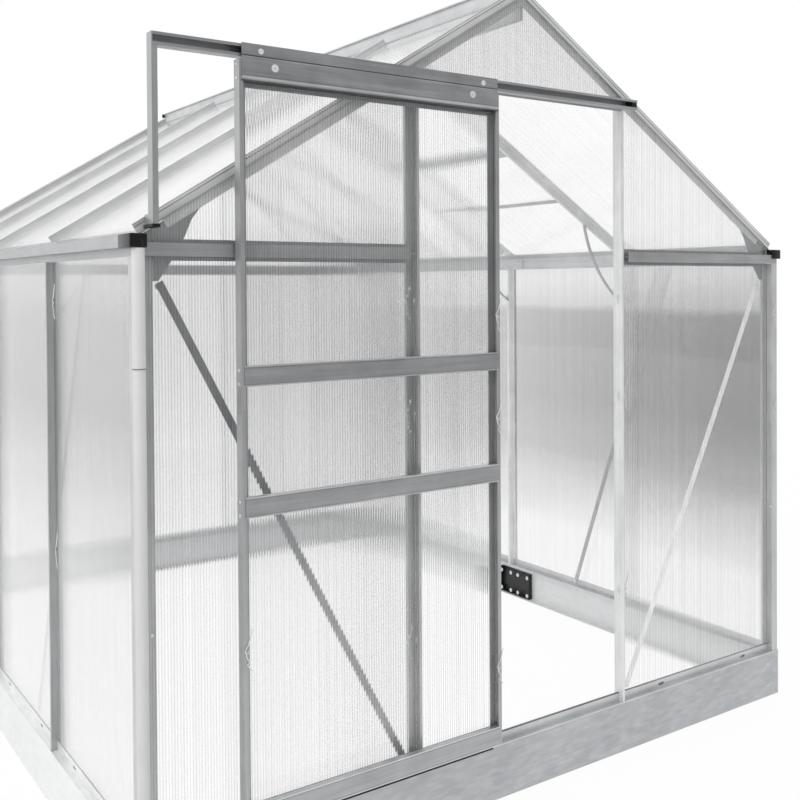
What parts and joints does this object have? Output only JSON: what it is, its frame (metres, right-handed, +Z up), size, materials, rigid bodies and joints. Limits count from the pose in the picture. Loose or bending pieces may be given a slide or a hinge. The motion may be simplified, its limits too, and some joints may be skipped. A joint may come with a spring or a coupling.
{
  "type": "polycarbonate greenhouse",
  "caption": "Small gable greenhouse: aluminium frame on a steel base, clear twin-wall sheets, hanging sliding door on a front track, roof vent, eave gutters and downpipes.",
  "frame": {"origin": "centre of the object's box, on the ground", "axes": "+X to the right of someone facing the door gable, +Y from the door gable to the back gable, along the ridge, +Z up"},
  "size_m": [1.922, 2.561, 1.9574],
  "materials": {
    "aluminium_frame": "mill, satin",
    "aluminium_bar": "mill, satin",
    "door_aluminium": "mill, satin",
    "galvanised_steel": "galvanised, mottled",
    "twin_wall_sheet": "clear twin-wall polycarbonate, ribbed",
    "black_plastic": "matte",
    "white_plastic": "satin"
  },
  "bodies": {
    "frame": {"base_front": "galvanised_steel", "base_back": "galvanised_steel", "base_left": "galvanised_steel", "base_right": "galvanised_steel", "base_splices": "galvanised_steel", "sill_front": "aluminium_frame", "sill_back": "aluminium_frame", "sill_left": "aluminium_frame", "sill_right": "aluminium_frame", "corner_posts": "aluminium_frame", "wall_posts": "aluminium_frame", "door_jambs": "aluminium_frame", "back_posts": "aluminium_frame", "eave_left": "aluminium_frame", "eave_right": "aluminium_frame", "eave_splices": "aluminium_bar", "gutter_end_caps": "black_plastic", "downpipes": "white_plastic", "front_cross_bars": "aluminium_bar", "back_cross_bars": "aluminium_bar", "door_header": "aluminium_frame", "front_verge_bars": "aluminium_frame", "back_verge_bars": "aluminium_frame", "ridge_beam": "aluminium_frame", "ridge_end_caps": "black_plastic", "roof_bars": "aluminium_frame", "knee_braces": "aluminium_bar", "gable_braces": "aluminium_bar", "wall_braces": "aluminium_bar", "corner_gussets": "aluminium_bar", "left_wall_sheets": "twin_wall_sheet", "right_wall_sheets": "twin_wall_sheet", "front_gable_sheets": "twin_wall_sheet", "back_gable_sheets": "twin_wall_sheet", "left_roof_sheets": "twin_wall_sheet", "right_roof_sheets": "twin_wall_sheet", "vent_frame": "aluminium_frame", "vent_sheet": "twin_wall_sheet", "vent_purlins": "aluminium_bar", "door_track": "aluminium_frame", "track_post": "aluminium_frame", "track_end_cap": "black_plastic"},
    "door": {"door_stiles": "door_aluminium", "door_rails": "door_aluminium", "door_hanger": "door_aluminium", "door_rollers": "black_plastic", "door_sheets": "twin_wall_sheet", "door_glide": "black_plastic"}
  },
  "joints": [
    {"name": "door_slide", "type": "slide", "parent": "frame", "child": "door", "axis": [1, 0, 0], "range_m": [-0.15, 0.429]}
  ]
}
